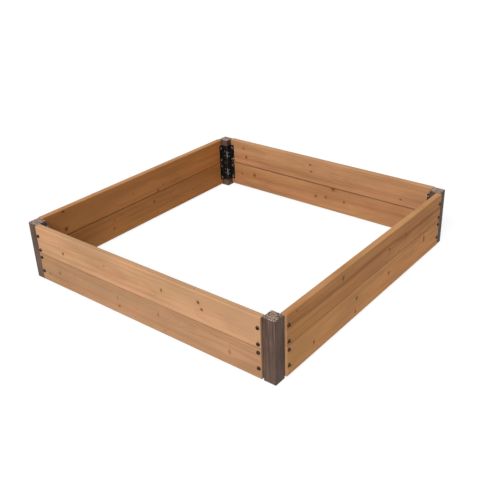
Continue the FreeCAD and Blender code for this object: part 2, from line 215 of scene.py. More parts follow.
# Each board: where the tree's heart lay from the board's middle (through it, across it), ring
# width, colours of early and late wood, share of the full painted shade in its joint, bands of
# darker or, below 0, paler colour as (height at the board's two ends, half width, strength at the
# two ends), and its knots as (along, up, radius, height / width, strength)
BOARDS = {
    "front_upper": dict(
        heart=(0.085, -0.012), ring=0.0030, seam=0.45,
        early=(0.605, 0.338, 0.174), late=(0.467, 0.218, 0.095),
        bands=[(0.000, 0.000, 0.080, 0.10, -0.18), (0.012, 0.020, 0.006, 0.12, 0.12),
               (-0.028, -0.018, 0.007, 0.16, 0.16)],
        knots=[(-0.312, 0.004, 0.0016, 1.0, 0.6), (-0.299, -0.012, 0.0036, 1.1, 1.0),
               (-0.123, 0.005, 0.0022, 0.8, 0.8), (0.094, 0.005, 0.0022, 2.2, 0.9),
               (0.221, 0.015, 0.0042, 1.0, 1.0), (0.231, -0.002, 0.0038, 0.9, 0.9)]),
    "front_lower": dict(
        heart=(0.070, 0.020), ring=0.0027, seam=0.45,
        early=(0.495, 0.272, 0.139), late=(0.372, 0.173, 0.074),
        bands=[(0.030, 0.022, 0.008, 0.16, 0.16), (-0.010, -0.022, 0.009, 0.20, 0.20)],
        knots=[(-0.380, -0.015, 0.0022, 1.2, 1.0), (-0.330, 0.002, 0.0034, 1.1, 0.8),
               (-0.083, 0.007, 0.0018, 2.4, 0.5), (-0.079, -0.018, 0.0034, 1.1, 0.7),
               (-0.005, 0.000, 0.0018, 0.8, 0.5), (0.073, 0.011, 0.0020, 2.4, 0.7),
               (0.093, -0.030, 0.0018, 1.6, 0.5), (0.315, -0.005, 0.0036, 1.6, 0.5)]),
    "right_upper": dict(
        heart=(0.060, -0.004), ring=0.0034, seam=0.35,
        early=(0.553, 0.247, 0.079), late=(0.396, 0.143, 0.035),
        bands=[(0.009, 0.000, 0.0058, 1.00, 0.80), (0.016, 0.004, 0.010, 0.40, 0.05)],
        knots=[(-0.371, 0.034, 0.0026, 0.6, 1.0), (-0.164, 0.022, 0.0044, 1.2, 1.0),
               (0.084, -0.004, 0.0040, 0.9, 1.0), (0.064, -0.038, 0.0022, 0.8, 1.0),
               (0.142, -0.038, 0.0018, 1.0, 0.8), (0.184, 0.001, 0.0030, 0.9, 1.0),
               (0.278, -0.036, 0.0020, 1.4, 0.7)]),
    "right_lower": dict(
        heart=(0.090, 0.016), ring=0.0029, seam=0.35,
        early=(0.689, 0.327, 0.113), late=(0.525, 0.205, 0.058),
        bands=[(0.000, 0.000, 0.080, -0.20, 0.25), (0.028, 0.020, 0.006, 0.20, 0.20),
               (-0.020, -0.030, 0.008, 0.20, 0.20)],
        knots=[(-0.298, -0.009, 0.0026, 2.0, 1.0), (-0.092, 0.014, 0.0046, 1.1, 1.0),
               (-0.096, -0.026, 0.0024, 2.2, 1.0), (0.087, 0.007, 0.0042, 1.2, 1.0),
               (0.187, 0.036, 0.0016, 1.0, 0.5), (0.309, 0.022, 0.0042, 2.0, 1.0)]),
    "back_upper": dict(
        heart=(-0.075, 0.008), ring=0.0028, seam=1.0,
        early=(0.517, 0.260, 0.123), late=(0.381, 0.165, 0.064),
        bands=[(-0.022, -0.020, 0.009, 0.10, 0.75), (0.026, 0.018, 0.006, 0.15, 0.15)],
        knots=[(0.352, 0.020, 0.0028, 1.0, 1.0), (0.340, -0.013, 0.0044, 1.1, 1.0),
               (0.051, 0.020, 0.0034, 0.7, 1.0), (0.047, -0.004, 0.0036, 0.7, 1.0),
               (-0.307, -0.022, 0.0038, 0.6, 1.0)]),
    # Its widest band is painted shade, darker towards the back-left corner
    "back_lower": dict(
        heart=(-0.080, -0.010), ring=0.0031, seam=1.0,
        early=(0.480, 0.233, 0.101), late=(0.349, 0.142, 0.053),
        bands=[(0.000, 0.000, 0.080, -0.12, 0.35), (0.014, 0.004, 0.010, 0.25, 0.35),
               (-0.030, -0.034, 0.006, 0.20, 0.20)],
        knots=[(0.363, 0.005, 0.0028, 1.2, 0.9), (0.303, 0.011, 0.0052, 1.1, 1.0),
               (0.026, -0.004, 0.0044, 1.0, 1.0), (-0.017, 0.002, 0.0036, 1.0, 1.0),
               (-0.047, 0.040, 0.0070, 0.8, 1.0), (-0.092, 0.002, 0.0036, 0.9, 1.0)]),
    # Its widest band is painted shade towards the back-left corner and painted light at the front end,
    # where the front wall's shadow falls
    "left_upper": dict(
        heart=(-0.090, -0.015), ring=0.0030, seam=0.55,
        early=(0.503, 0.209, 0.057), late=(0.377, 0.130, 0.030),
        bands=[(0.000, 0.000, 0.080, 0.15, -0.35), (0.004, 0.014, 0.010, 0.20, 0.20),
               (-0.032, -0.026, 0.006, 0.25, 0.25)],
        knots=[(0.336, 0.036, 0.0038, 1.0, 1.0), (0.334, -0.024, 0.0050, 1.1, 1.0),
               (0.047, -0.010, 0.0026, 0.6, 0.8), (-0.066, -0.038, 0.0044, 0.7, 1.0),
               (-0.092, -0.024, 0.0022, 1.0, 1.0)]),
    # Its widest band is painted shade towards the back-left corner and painted light at the front end,
    # where the front wall's shadow falls
    "left_lower": dict(
        heart=(-0.070, 0.012), ring=0.0033, seam=0.55,
        early=(0.481, 0.205, 0.052), late=(0.357, 0.126, 0.028),
        bands=[(0.000, 0.000, 0.080, 0.20, -0.20), (-0.006, 0.004, 0.008, 0.25, 0.25),
               (0.032, 0.028, 0.005, 0.20, 0.20)],
        knots=[(0.148, -0.010, 0.0024, 1.8, 0.8), (0.144, 0.017, 0.0034, 0.5, 1.0),
               (-0.041, 0.017, 0.0040, 1.0, 1.0), (-0.122, 0.019, 0.0024, 0.5, 1.0),
               (-0.240, -0.006, 0.0026, 0.8, 1.0)]),
}


# Mesh helpers

def add_object(name, data):
    made = bpy.data.objects.new(name, data)
    bpy.context.scene.collection.objects.link(made)
    return made


def new_piece(name, points, faces, material, stands_for, slot):
    mesh = bpy.data.meshes.new(name)
    mesh.from_pydata([tuple(p) for p in points], [], [tuple(f) for f in faces])
    mesh.materials.append(material)
    piece = add_object(name, mesh)
    piece["stands_for"] = stands_for
    piece["slot"] = slot
    return piece


def settle(piece):
    """Smooth the piece's rounded faces, give it its body, and hide the node it stands for."""
    piece.data.set_sharp_from_angle(angle=SHARP)
    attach(piece, "root")
    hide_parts(piece["stands_for"])


def points_and_normals(mesh):
    arrays = []
    for items, field in ((mesh.vertices, "co"), (mesh.vertex_normals, "vector")):
        found = np.empty(len(items) * 3, np.float32)
        items.foreach_get(field, found)
        arrays.append(found.reshape(-1, 3).astype(float))
    return arrays


def set_points(mesh, points):
    mesh.vertices.foreach_set("co", points.ravel())
    mesh.update()


def store(mesh, **fields):
    """Keep numbers or vectors at each point for the materials."""
    for name, values in fields.items():
        kind, key = ("FLOAT", "value") if values.ndim == 1 else ("FLOAT_VECTOR", "vector")
        mesh.attributes.new(name, kind, "POINT").data.foreach_set(key, values.ravel())


def apply_modifiers(piece):
    drawn = piece.evaluated_get(bpy.context.evaluated_depsgraph_get())
    mesh = bpy.data.meshes.new_from_object(drawn)
    piece.modifiers.clear()
    piece.data = mesh


def cut(piece, cutter):
    """Take the cutter's solids out of the piece."""
    modifier = piece.modifiers.new("holes", "BOOLEAN")
    modifier.operation = "DIFFERENCE"
    modifier.solver = "EXACT"
    modifier.object = cutter
    apply_modifiers(piece)
    bpy.data.objects.remove(cutter)


def rods(places, radius, start, end):
    """Cutter of one rod for each place, along its z axis."""
    cutter = bmesh.new()
    for place in places:
        middle = place @ Matrix.Translation((0, 0, (start + end) / 2))
        bmesh.ops.create_cone(cutter, cap_ends=True, segments=LATHE_COLUMNS, radius1=radius,
                              radius2=radius, depth=end - start, matrix=middle)
    mesh = bpy.data.meshes.new("rods")
    cutter.to_mesh(mesh)
    cutter.free()
    return add_object("rods", mesh)


def rounded_side(length, depth, radius, steps, bend):
    """Lower side of a rounded rectangle, from one corner's middle to the next, and its normals."""
    reach = length / 2 - radius
    flat = np.linspace(-reach, reach, steps + 1)
    middle = np.concatenate([np.full(bend, -reach), flat, np.full(bend, reach)])
    quarter = np.linspace(0, math.pi / 4, bend + 1)[1:]
    angle = np.concatenate([-quarter[::-1], np.zeros(steps + 1), quarter])
    normals = np.stack([np.sin(angle), -np.cos(angle)], 1)
    points = np.stack([middle, np.full(len(middle), radius - depth / 2)], 1) + radius * normals
    return points, normals


def rounded_section(width, height, radius, step, bend):
    """Four sides of a rounded rectangle, anticlockwise, as (points, normals)."""
    sides = []
    for turn in range(4):
        length, depth = (width, height) if turn % 2 == 0 else (height, width)
        steps = round((length - 2 * radius) / step)
        points, normals = rounded_side(length, depth, radius, steps, bend)
        c, s = round(math.cos(turn * math.pi / 2)), round(math.sin(turn * math.pi / 2))
        spin = np.array([[c, s], [-s, c]])
        sides.append((points @ spin, normals @ spin))
    return sides


def end_grid(sides, inset):
    """Points inside a section's end, evenly between its four sides."""
    bottom, right, top, left = [points - inset * normals for points, normals in sides]
    top, left = top[::-1], left[::-1]
    u = np.linspace(0, 1, len(bottom))[:, None, None]
    v = np.linspace(0, 1, len(right))[None, :, None]
    across = (1 - v) * bottom[:, None] + v * top[:, None]
    along = (1 - u) * left[None] + u * right[None]
    corners = ((1 - u) * (1 - v) * bottom[0] + u * (1 - v) * bottom[-1]
               + (1 - u) * v * top[0] + u * v * top[-1])
    return (across + along - corners)[1:-1, 1:-1]


def bar(sides, stations):
    """Closed bar along z through stations of (z, inset), with a grid of points on both ends."""
    outline = np.concatenate([points[:-1] for points, normals in sides])
    normals = np.concatenate([normals[:-1] for points, normals in sides])
    count = len(outline)
    rings = [np.column_stack([outline - inset * normals, np.full(count, z)]) for z, inset in stations]
    points = list(rings)
    faces = []
    for ring in range(len(stations) - 1):
        for i in range(count):
            a, b = ring * count + i, ring * count + (i + 1) % count
            faces.append((a, b, b + count, a + count))
    wide, high = len(sides[0][0]) - 1, len(sides[1][0]) - 1
    made = count * len(stations)
    for ring, flip in ((0, True), (len(stations) - 1, False)):
        z, inset = stations[ring]
        inner = end_grid(sides, inset)
        points.append(np.column_stack([inner.reshape(-1, 2), np.full(inner[..., 0].size, z)]))
        index = np.empty((wide + 1, high + 1), int)
        index[1:-1, 1:-1] = made + np.arange((wide - 1) * (high - 1)).reshape(wide - 1, high - 1)
        made += (wide - 1) * (high - 1)
        index[:, 0] = np.arange(wide + 1)
        index[-1, :] = wide + np.arange(high + 1)
        index[::-1, -1] = wide + high + np.arange(wide + 1)
        index[0, ::-1] = (2 * wide + high + np.arange(high + 1)) % count
        index[:, [0, -1]] += ring * count
        index[[0, -1], 1:-1] += ring * count
        for i in range(wide):
            for j in range(high):
                face = (index[i, j], index[i + 1, j], index[i + 1, j + 1], index[i, j + 1])
                faces.append(face[::-1] if flip else face)
    return np.concatenate(points), faces


def lathe(rows, closed=False):
    """Surface of revolution about z from rows of (z, radius), where a radius may depend on the
    angle, and a first or last radius of 0 is a pole."""
    angles = np.arange(LATHE_COLUMNS) * 2 * math.pi / LATHE_COLUMNS
    points, starts = [], []
    for z, radius in rows:
        starts.append(len(points))
        if not callable(radius) and radius == 0:
            points.append((0, 0, z))
            continue
        for angle in angles:
            r = radius(angle) if callable(radius) else radius
            points.append((r * math.cos(angle), r * math.sin(angle), z))
    faces = []
    pairs = list(zip(starts, starts[1:])) + ([(starts[-1], starts[0])] if closed else [])
    for low, high in pairs:
        for i in range(LATHE_COLUMNS):
            j = (i + 1) % LATHE_COLUMNS
            if low + 1 == high:
                faces.append((low, high + j, high + i))
            elif high == len(points) - 1 and not closed:
                faces.append((low + i, low + j, high))
            else:
                faces.append((low + i, low + j, high + j, high + i))
    return np.array(points, float), faces


def copies(points, faces, places):
    """The same shape at each place, as one mesh."""
    all_points, all_faces = [], []
    for n, place in enumerate(places):
        turn = np.array(place)
        all_points.append(points @ turn[:3, :3].T + turn[:3, 3])
        all_faces += [tuple(i + n * len(points) for i in face) for face in faces]
    return np.concatenate(all_points), all_faces


def solids(node):
    """(lowest, highest corner) of each separate solid of a CAD node."""
    mesh = bmesh.new()
    mesh.from_mesh(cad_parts[node].data)
    bmesh.ops.remove_doubles(mesh, verts=mesh.verts, dist=WELD)
    boxes = []
    waiting = set(mesh.verts)
    while waiting:
        island = [waiting.pop()]
        for vert in island:
            for edge in vert.link_edges:
                other = edge.other_vert(vert)
                if other in waiting:
                    waiting.remove(other)
                    island.append(other)
        found = np.array([v.co for v in island])
        boxes.append((found.min(0), found.max(0)))
    mesh.free()
    return boxes


def fastener_places(corner, kind, rng=None):
    """A matrix for each of a corner's fasteners: z = 0 on its bearing face, +z towards its head."""
    longest, outward, height = FASTENERS[kind]
    places = []
    for low, high in sorted(solids(corner + "_" + kind), key=lambda b: tuple(np.round(b[0], 4))):
        size = high - low
        axis = int(np.argmax(size) if longest else np.argmin(size))
        middle = (low + high) / 2
        sign = np.sign(middle[axis]) * (1 if outward else -1)
        direction = Vector((0, 0, 0))
        direction[axis] = sign
        seat = Vector(middle)
        seat[axis] = (high if sign > 0 else low)[axis] - sign * height
        spin = rng.uniform(0, 2 * math.pi) if rng else 0
        turn = direction.to_track_quat("Z", "Y").to_matrix().to_4x4()
        places.append(Matrix.Translation(seat) @ turn @ Matrix.Rotation(spin, 4, "Z"))
    return places


# Material helpers

def empty_tree(owner):
    """The node tree of a material or world, with nothing in it."""
    owner.use_nodes = True
    owner.node_tree.nodes.clear()
    return owner.node_tree


def times(colour, by):
    return tuple(a * b for a, b in zip(colour, by))


class Nodes:
    """Short calls that add and join the nodes of one material."""

    def __init__(self, name):
        self.material = bpy.data.materials.new(name)
        self.tree = empty_tree(self.material)

    def add(self, kind, inputs=(), **settings):
        node = self.tree.nodes.new(kind)
        for key, value in settings.items():
            setattr(node, key, value)
        for key, value in dict(inputs).items():
            self.put(node.inputs[key], value)
        return node

    def put(self, socket, value):
        if isinstance(value, bpy.types.NodeSocket):
            self.tree.links.new(value, socket)
        else:
            socket.default_value = value

    def math(self, operation, a, b=0.0, clamp=False):
        node = self.add("ShaderNodeMath", {0: a, 1: b}, operation=operation, use_clamp=clamp)
        return node.outputs[0]

    def vector(self, operation, a, b):
        node = self.add("ShaderNodeVectorMath", {0: a, 1: b}, operation=operation)
        return node.outputs[0]

    def attribute(self, name, output="Fac"):
        return self.add("ShaderNodeAttribute", attribute_name=name).outputs[output]

    def noise(self, where, scale, detail=3.0, roughness=0.5):
        inputs = {"Vector": where, "Scale": scale, "Detail": detail, "Roughness": roughness}
        return self.add("ShaderNodeTexNoise", inputs).outputs["Fac"]

    def ramp(self, value, stops):
        """Piecewise change from one number or colour to the next along a value."""
        node = self.add("ShaderNodeValToRGB", {"Fac": value})
        elements = node.color_ramp.elements
        while len(elements) < len(stops):
            elements.new(1.0)
        for element, (place, colour) in zip(elements, stops):
            element.position = place
            element.color = (*colour, 1) if isinstance(colour, tuple) else (colour,) * 3 + (1,)
        return node.outputs["Color"]

    def between(self, value, low, high, new_low=0.0, new_high=1.0):
        inputs = {"Value": value, "From Min": low, "From Max": high}
        inputs.update({"To Min": new_low, "To Max": new_high})
        return self.add("ShaderNodeMapRange", inputs, interpolation_type="SMOOTHSTEP").outputs[0]

    def mix(self, share, a, b, blend="MIX"):
        node = self.add("ShaderNodeMix", {"Factor": share}, data_type="RGBA", blend_type=blend)
        colours = [s for s in node.inputs if s.type == "RGBA"]
        for socket, value in zip(colours, (a, b)):
            self.put(socket, (*value, 1) if isinstance(value, tuple) else value)
        return [s for s in node.outputs if s.type == "RGBA"][0]

    def bump(self, height, distance, strength):
        inputs = {"Height": height, "Distance": distance, "Strength": strength}
        return self.add("ShaderNodeBump", inputs).outputs["Normal"]

    def stretched(self, where, along, across):
        """Coordinates for a pattern that is drawn out along x."""
        return self.vector("MULTIPLY", where, (along, across, across))

    def tint(self, colour, by):
        return self.mix(1.0, colour, by, "MULTIPLY")

    def tinted(self, share, colour, tints):
        """The colour times a tint that goes from the first to the second with the share."""
        return self.mix(share, self.tint(colour, tints[0]), self.tint(colour, tints[1]))

    def finish(self, colour, roughness, normal, specular=0.5, metallic=0.0):
        shader = self.add("ShaderNodeBsdfPrincipled", {
            "Base Color": colour,
            "Roughness": roughness,
            "Normal": normal,
            "Specular IOR Level": specular,
            "Metallic": metallic,
        })
        output = self.add("ShaderNodeOutputMaterial")
        self.tree.links.new(shader.outputs[0], output.inputs["Surface"])
        return self.material


def wood_material(name, early, late):
    """Stained softwood: growth rings, fibres, mottling and knots, with painted shade in its joints and
    a painted highlight, partly wear, on the edges away from a joint.
    """
    n = Nodes(name)
    grain = n.attribute("grain", "Vector")
    ring = n.attribute("ring")
    known = n.attribute("knot_strength")

    fibres = n.noise(n.stretched(grain, 22, 1100), 1.0, 3.0, 0.6)
    streaks = n.noise(n.stretched(grain, 2.2, 95), 1.0, 4.0, 0.55)
    mottle = n.noise(n.stretched(grain, 5, 14), 1.0, 3.0, 0.5)
    flush = n.noise(n.stretched(grain, 3.4, 19), 1.0, 2.0, 0.5)
    dashes = n.noise(n.stretched(grain, 90, 1900), 1.0, 1.0, 0.4)

    across_ring = n.math("FRACT", ring)
    profile = n.ramp(across_ring, [(0.0, 0.0), (0.45, 0.12), (0.80, 0.75), (0.92, 1.0), (1.0, 0.0)])
    which = {"W": n.math("FLOOR", ring)}
    each = n.add("ShaderNodeTexWhiteNoise", which, noise_dimensions="1D").outputs["Value"]
    late_wood = n.math("MULTIPLY", profile, n.between(each, 0.0, 1.0, 0.35, 1.0))

    amount = n.math("MULTIPLY", late_wood, 0.36)
    amount = n.math("ADD", amount, n.between(streaks, 0.30, 0.72, -0.20, 0.36))
    # Bands of darker wood; the widest bands of the back and left boards are painted shade and painted
    # light
    amount = n.math("ADD", amount, n.attribute("band"))
    amount = n.math("ADD", amount, n.between(fibres, 0.25, 0.75, -0.14, 0.14), clamp=True)
    colour = n.mix(amount, early, late)
    colour = n.tinted(n.between(mottle, 0.25, 0.75), colour, MOTTLE_TINTS)
    colour = n.tinted(n.between(flush, 0.35, 0.65), colour, FLUSH_TINTS)
    colour = n.mix(n.between(dashes, 0.66, 0.80, 0.0, 0.40), colour, times(late, DASH_TINT))

    frayed = n.math("ADD", n.attribute("knot"), n.between(fibres, 0.2, 0.8, -0.12, 0.12))
    halo = n.math("MULTIPLY", n.between(frayed, 1.15, 2.6, 0.55, 0.0), known)
    colour = n.mix(halo, colour, n.tint(colour, HALO_TINT))
    uneven = n.math("MULTIPLY", n.noise(grain, 420.0, 2.0), 0.9)
    knot_rings = n.math("PINGPONG", n.math("ADD", n.math("MULTIPLY", frayed, 2.6), uneven), 0.5)
    heart = n.mix(n.between(knot_rings, 0.05, 0.45), KNOT_DARK, KNOT_LIGHT)
    heart = n.mix(n.between(frayed, 0.05, 0.30, 1.0, 0.0), heart, KNOT_BARK)
    colour = n.mix(n.math("MULTIPLY", n.between(frayed, 0.90, 1.12, 1.0, 0.0), known), colour, heart)
    bark = n.math("MULTIPLY", n.between(frayed, 0.66, 0.92), n.between(frayed, 0.98, 1.14, 0.8, 0.0))
    broken = n.math("MULTIPLY", n.between(n.noise(grain, 330.0, 2.0), 0.35, 0.60, 0.25, 1.0), known)
    colour = n.mix(n.math("MULTIPLY", bark, broken), colour, KNOT_BARK)

    # Painted highlight, partly wear, on the rounded edges and flat face away from the joint
    highlight_share = n.math("MULTIPLY", n.attribute("worn"), n.between(mottle, 0.30, 0.60, 0.15, 0.45))
    colour = n.mix(highlight_share, colour, HIGHLIT_WORN_WOOD)
    colour = n.mix(n.math("MULTIPLY", n.attribute("sawn_end"), 0.70), colour, END_GRAIN)
    # Painted shade along the joint of two boards, in a warm tint of late wood
    seam_shaded = n.math("MULTIPLY", n.attribute("seam"), n.between(streaks, 0.30, 0.60, 0.60, 0.95))
    colour = n.mix(seam_shaded, colour, times(late, SEAM_SHADE_TINT))

    height = n.math("ADD", n.math("MULTIPLY", fibres, 0.6), n.math("MULTIPLY", late_wood, 0.5))
    normal = n.bump(height, 0.00025, 0.7)
    roughness = n.between(streaks, 0.2, 0.8, 0.52, 0.70)
    return n.finish(colour, roughness, normal, specular=0.23)


def composite_material(name):
    """Wood-plastic composite: brushed along the post, evener near its foot, and sawn across the
    wood flour at its ends."""
    n = Nodes(name)
    where = n.add("ShaderNodeTexCoord").outputs["Object"]
    up = n.add("ShaderNodeSeparateXYZ", {0: where}).outputs["Z"]
    brushed = n.noise(n.vector("MULTIPLY", where, (520, 520, 9)), 1.0, 4.0, 0.65)
    dark_streaks = n.noise(n.vector("MULTIPLY", where, (150, 150, 10)), 1.0, 3.0, 0.55)
    pale_streaks = n.noise(n.vector("MULTIPLY", where, (230, 230, 14)), 1.0, 2.0, 0.5)
    flour = n.noise(n.vector("MULTIPLY", where, (1500, 1500, 160)), 1.0, 2.0, 0.5)
    colour = n.ramp(brushed, list(zip((0.28, 0.50, 0.72), COMPOSITE)))
    colour = n.mix(n.between(dark_streaks, 0.38, 0.62, 0.0, 0.75), colour, DARK_STREAK)
    colour = n.mix(n.between(pale_streaks, 0.55, 0.72, 0.0, 0.55), colour, PALE_STREAK)
    colour = n.mix(n.between(flour, 0.60, 0.75, 0.0, 0.35), colour, FLOUR)
    colour = n.mix(n.between(up, 0.02, 0.12, 0.45, 0.0), colour, FOOT_TONE)

    cells = n.add("ShaderNodeTexVoronoi", {"Vector": where, "Scale": 430.0, "Smoothness": 0.3},
                  feature="SMOOTH_F1")
    specks = n.add("ShaderNodeSeparateColor", {0: cells.outputs["Color"]}).outputs[0]
    dust = n.noise(where, 1900.0, 3.0, 0.6)
    specks = n.math("ADD", specks, n.between(dust, 0.30, 0.70, -0.18, 0.18))
    speckled = n.ramp(specks, list(zip((0.0, 0.40, 0.72, 1.0), SPECKS)))
    colour = n.mix(n.attribute("sawn_end"), colour, speckled)

    height = n.math("ADD", n.math("MULTIPLY", brushed, 0.7), n.math("MULTIPLY", flour, 0.3))
    normal = n.bump(height, 0.0003, 0.8)
    roughness = n.between(brushed, 0.25, 0.75, 0.50, 0.68)
    return n.finish(colour, roughness, normal, specular=0.26)


def powder_coat_material(name):
    """Black powder coat with its orange peel, and a painted highlight along the raised bead."""
    n = Nodes(name)
    where = n.add("ShaderNodeTexCoord").outputs["Object"]
    peel = n.noise(where, 900.0, 2.0, 0.5)
    dust = n.noise(where, 120.0, 4.0, 0.6)
    # Painted highlight along the bead's crest, in patches
    highlight_patches = n.between(n.noise(where, 400.0, 3.0), 0.30, 0.55, 0.6, 1.0)
    highlight_share = n.math("MULTIPLY", n.between(n.attribute("crest"), 0.72, 1.0), highlight_patches)
    colour = n.mix(n.between(dust, 0.35, 0.75, 0.0, 0.5), *COAT)
    colour = n.mix(highlight_share, colour, BEAD_HIGHLIGHT)
    roughness = n.between(dust, 0.3, 0.7, 0.34, 0.50)
    return n.finish(colour, roughness, n.bump(peel, 0.00012, 0.5), specular=0.22)


def metal_material(name, dark, light, rough):
    """Plated steel with faint turning marks and handling."""
    n = Nodes(name)
    where = n.add("ShaderNodeTexCoord").outputs["Object"]
    cloud = n.noise(where, 350.0, 4.0, 0.6)
    marks = n.noise(where, 2600.0, 2.0, 0.6)
    colour = n.mix(n.between(cloud, 0.3, 0.7), dark, light)
    roughness = n.between(cloud, 0.25, 0.75, rough - 0.07, rough + 0.10)
    return n.finish(colour, roughness, n.bump(marks, 0.00006, 0.5), metallic=1.0)


# Boards

def drift(values, rng, size, wave):
    """Slow wander along the grain: three sine waves of about that size and wavelength."""
    total = np.zeros_like(values)
    for share, ratio in ((0.6, 1.0), (0.3, 0.53), (0.1, 0.29)):
        start = rng.uniform(0, 2 * math.pi)
        total += share * size * np.sin(2 * math.pi * values / (wave * ratio) + start)
    return total


def growth(points, board, rng):
    """How the tree grew at each point of a board: the fibre's own height and the ring's number."""
    x, y, z = points.T
    fibre = z.copy()
    for along, up, radius, tall, _ in board["knots"]:
        away_x = (x - along) * FIBRE_STRETCH
        away_z = (z - up) / tall
        reach = FIBRE_REACH * radius
        squared = np.maximum(away_x ** 2 + away_z ** 2, reach ** 2)
        fibre -= (z - up) * reach ** 2 / squared
    heart_y, heart_z = [place + drift(x, rng, *by) for place, by in zip(board["heart"], HEART_DRIFT)]
    radius = np.hypot(y - heart_y, fibre - heart_z) + drift(x, rng, *RADIUS_DRIFT)
    ring = radius / board["ring"]
    for rings, wave in RING_CROWDING:
        ring = ring + rings * np.sin(radius / wave)
    return fibre, ring


def tone_and_shading_bands(points, fibre, board, rng):
    """Share of darker colour at each point, in bands that run along the board and wander: darker wood,
    and in the widest bands of the back and left boards also painted shade and painted light.
    """
    share = np.zeros(len(points))
    along = points[:, 0] / BAND_SPAN + 0.5
    for start, end, half_width, at_start, at_end in board["bands"]:
        middle = start + (end - start) * along + drift(points[:, 0], rng, *BAND_DRIFT)
        strength = at_start + (at_end - at_start) * along
        share += strength * np.exp(-((fibre - middle) / half_width) ** 2)
    return share


def nearest_knot(points, board):
    """Distance from the nearest knot's axis in knot radii, and that knot's strength. Knots run
    through the board."""
    nearest = np.full(len(points), FAR_FROM_KNOTS)
    strongest = np.zeros(len(points))
    for along, up, radius, tall, strength in board["knots"]:
        x = points[:, 0] - along
        z = (points[:, 2] - up) / tall
        distance = np.hypot(x, z) / radius
        strongest = np.where(distance < nearest, strength, strongest)
        nearest = np.minimum(nearest, distance)
    return nearest, strongest


def board_stations(length, knots):
    """(place along the board, inset) of each section, closer at the knots and round the ends."""
    half = length / 2
    ends = []
    for angle in np.linspace(math.pi / 2, 0, END_STATIONS):
        place = half - BOARD_END_RADIUS * (1 - math.sin(angle))
        ends.append((place, BOARD_END_RADIUS * (1 - math.cos(angle))))
    inner = half - BOARD_END_RADIUS
    places = list(np.linspace(-inner, inner, round(2 * inner / STATION_STEP) + 1)[1:-1])
    for along, _, radius, _, _ in knots:
        reach = KNOT_STATION_REACH * radius
        places += list(np.arange(along - reach, along + reach, KNOT_STATION_STEP))
    places = sorted(p for p in places if abs(p) < inner - KNOT_STATION_STEP)
    spaced = [places[0]]
    for place in places[1:]:
        if place - spaced[-1] > CLOSEST_STATIONS:
            spaced.append(place)
    return [(-x, inset) for x, inset in ends] + [(x, 0.0) for x in spaced] + ends[::-1]


def in_box(point, low, high):
    """True if a point is inside a box or on its face."""
    return all(low[i] - 2 * WELD <= point[i] <= high[i] + 2 * WELD for i in range(3))


def make_board(wall, row, number):
    name = wall + "_" + row
    node = name + "_board"
    board = BOARDS[name]
    rng = random.Random(number)
    low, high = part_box(node)
    size = high - low
    length, thickness, height = max(size.x, size.y), min(size.x, size.y), size.z
    sides = rounded_section(thickness, height, BOARD_EDGE_RADIUS, SECTION_STEP, BOARD_EDGE_POINTS)
    points, faces = bar(sides, board_stations(length, board["knots"]))
    points = points[:, [2, 0, 1]]
    material = wood_material(name + "_wood", board["early"], board["late"])
    piece = new_piece(name + "_timber", points, faces, material, node, "boards")

    place = Matrix.Translation((low + high) / 2) @ Matrix.Rotation(WALLS[wall] * math.pi / 2, 4, "Z")
    inverse = place.inverted()
    through = []
    for corner in CORNERS:
        bolts = fastener_places(corner, "bolts")
        through += [inverse @ m for m in bolts if in_box(m.translation, low, high)]
    cut(piece, rods(through, BOLT_HOLE_RADIUS, -2 * thickness, thickness))

    mesh = piece.data
    points, normals = points_and_normals(mesh)
    fibre, ring = growth(points, board, rng)
    knot, knot_strength = nearest_knot(points, board)
    late_wood = 0.5 - 0.5 * np.cos(2 * math.pi * ring)
    groove = np.exp(-((knot - KNOT_GROOVE[0]) / KNOT_GROOVE[1]) ** 2)
    hollow = GRAIN_RELIEF * (1 - late_wood) + KNOT_RELIEF * groove
    sawn = (np.abs(normals[:, 0]) > FACING) & (np.abs(points[:, 0]) > length / 2 - BOARD_END_RADIUS)
    from_joint = height / 2 - (points[:, 2] if row == "lower" else -points[:, 2])
    # Painted shade, fading away from the joint of two boards
    seam = np.clip(1 - from_joint / SEAM_SHADE_REACH, 0, 1)
    # Painted highlight and wear on the rounded edges and the flat face away from the joint
    rounding = np.abs(normals[:, 1:]).min(1) / math.sqrt(0.5)
    level = np.abs(normals[:, 2]) > TOP_FACING
    worn = np.maximum(rounding, TOP_HIGHLIGHT_AND_WEAR * level) * (from_joint > height / 2)
    grain = np.column_stack([points[:, 0] + PATTERN_SHIFT * number, points[:, 1], fibre])
    set_points(mesh, points - normals * hollow[:, None])
    store(mesh, grain=grain, ring=ring, knot=knot, knot_strength=knot_strength,
          band=tone_and_shading_bands(points, fibre, board, rng), sawn_end=sawn.astype(float),
          seam=seam * board["seam"], worn=worn)
    mesh.transform(place)
    settle(piece)


# Posts

